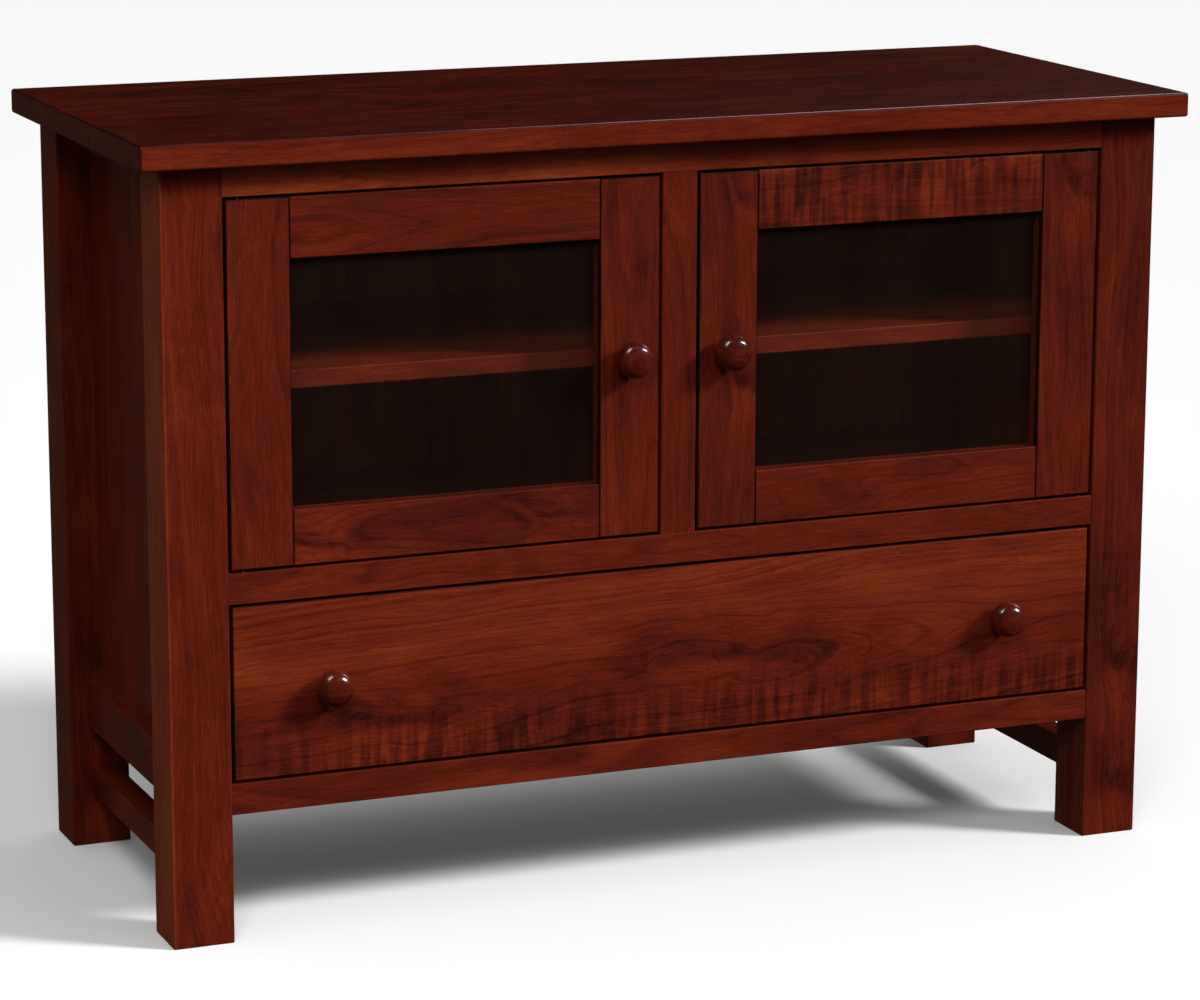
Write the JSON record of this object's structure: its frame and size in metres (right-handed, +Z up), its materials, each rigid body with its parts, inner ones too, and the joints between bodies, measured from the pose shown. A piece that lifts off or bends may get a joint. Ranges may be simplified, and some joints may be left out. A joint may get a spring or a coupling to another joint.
{
  "type": "console television cabinet",
  "caption": "Stained maple media console: plank top on four square posts, two glazed doors over one wide drawer with turned wood knobs.",
  "frame": {"origin": "middle of the footprint's bounding box, knobs included, at floor level", "axes": "+X along the width to the viewer's right, -Y the front with doors and drawer, +Z up"},
  "size_m": [1.143, 0.485, 0.8128],
  "materials": {
    "stained_maple": "satin lacquer over a deep red-brown stain",
    "stained_plywood": "satin lacquer over a deep red-brown stain, thin plywood",
    "clear_maple": "clear lacquer",
    "clear_glass": "clear float glass",
    "zinc_steel": "bright zinc plate",
    "brass": "satin",
    "catch_plastic": "matt dark brown"
  },
  "bodies": {
    "carcass": {"back_lower_rail": "stained_maple", "back_panel": "stained_plywood", "back_upper_rail": "stained_maple", "cabinet_floor": "stained_maple", "centre_mullion": "stained_maple", "centre_partition": "stained_maple", "door_catches": "catch_plastic", "front_lower_rail": "stained_maple", "front_middle_rail": "stained_maple", "front_top_rail": "stained_maple", "hinge_arms": "brass", "leg_back_left": "stained_maple", "leg_back_right": "stained_maple", "leg_front_left": "stained_maple", "leg_front_right": "stained_maple", "shelf_left": "stained_maple", "shelf_pins": "zinc_steel", "shelf_right": "stained_maple", "side_lower_rail_left": "stained_maple", "side_lower_rail_right": "stained_maple", "side_panel_left": "stained_maple", "side_panel_right": "stained_maple", "side_stretcher_left": "stained_maple", "side_stretcher_right": "stained_maple", "side_upper_rail_left": "stained_maple", "side_upper_rail_right": "stained_maple", "slide_cleats": "stained_maple", "slides_outer": "zinc_steel", "top_brackets": "zinc_steel", "top_panel": "stained_maple", "wood_screws": "zinc_steel"},
    "door_left": {"door_left_bottom_rail": "stained_maple", "door_left_glass": "clear_glass", "door_left_glass_stops": "stained_maple", "door_left_hinge_leaves": "brass", "door_left_inner_stile": "stained_maple", "door_left_knob": "stained_maple", "door_left_knob_bolt": "zinc_steel", "door_left_outer_stile": "stained_maple", "door_left_strike_plate": "zinc_steel", "door_left_top_rail": "stained_maple"},
    "door_right": {"door_right_bottom_rail": "stained_maple", "door_right_glass": "clear_glass", "door_right_glass_stops": "stained_maple", "door_right_hinge_leaves": "brass", "door_right_inner_stile": "stained_maple", "door_right_knob": "stained_maple", "door_right_knob_bolt": "zinc_steel", "door_right_outer_stile": "stained_maple", "door_right_strike_plate": "zinc_steel", "door_right_top_rail": "stained_maple"},
    "drawer": {"drawer_back": "clear_maple", "drawer_bottom": "clear_maple", "drawer_front": "stained_maple", "drawer_knob_bolts": "zinc_steel", "drawer_knobs": "stained_maple", "drawer_side_left": "clear_maple", "drawer_side_right": "clear_maple", "slides_inner": "zinc_steel"},
    "slides_middle": {"slides_middle": "zinc_steel"}
  },
  "joints": [
    {"name": "door_left_swing", "type": "hinge", "parent": "carcass", "child": "door_left", "pos_m": [-0.4676, -0.2079, 0.5683], "axis": [0, 0, -1], "range_deg": [0, 110]},
    {"name": "door_right_swing", "type": "hinge", "parent": "carcass", "child": "door_right", "pos_m": [0.4676, -0.2079, 0.5683], "axis": [0, 0, 1], "range_deg": [0, 110]},
    {"name": "drawer_slide", "type": "slide", "parent": "carcass", "child": "drawer", "axis": [0, -1, 0], "range_m": [0, 0.3556]},
    {"name": "slides_middle_slide", "type": "slide", "parent": "carcass", "child": "slides_middle", "axis": [0, -1, 0], "range_m": [0, 0.1778]}
  ],
  "couplings": [
    {"joint": "slides_middle_slide", "follows": "drawer_slide", "ratio": 0.5}
  ]
}
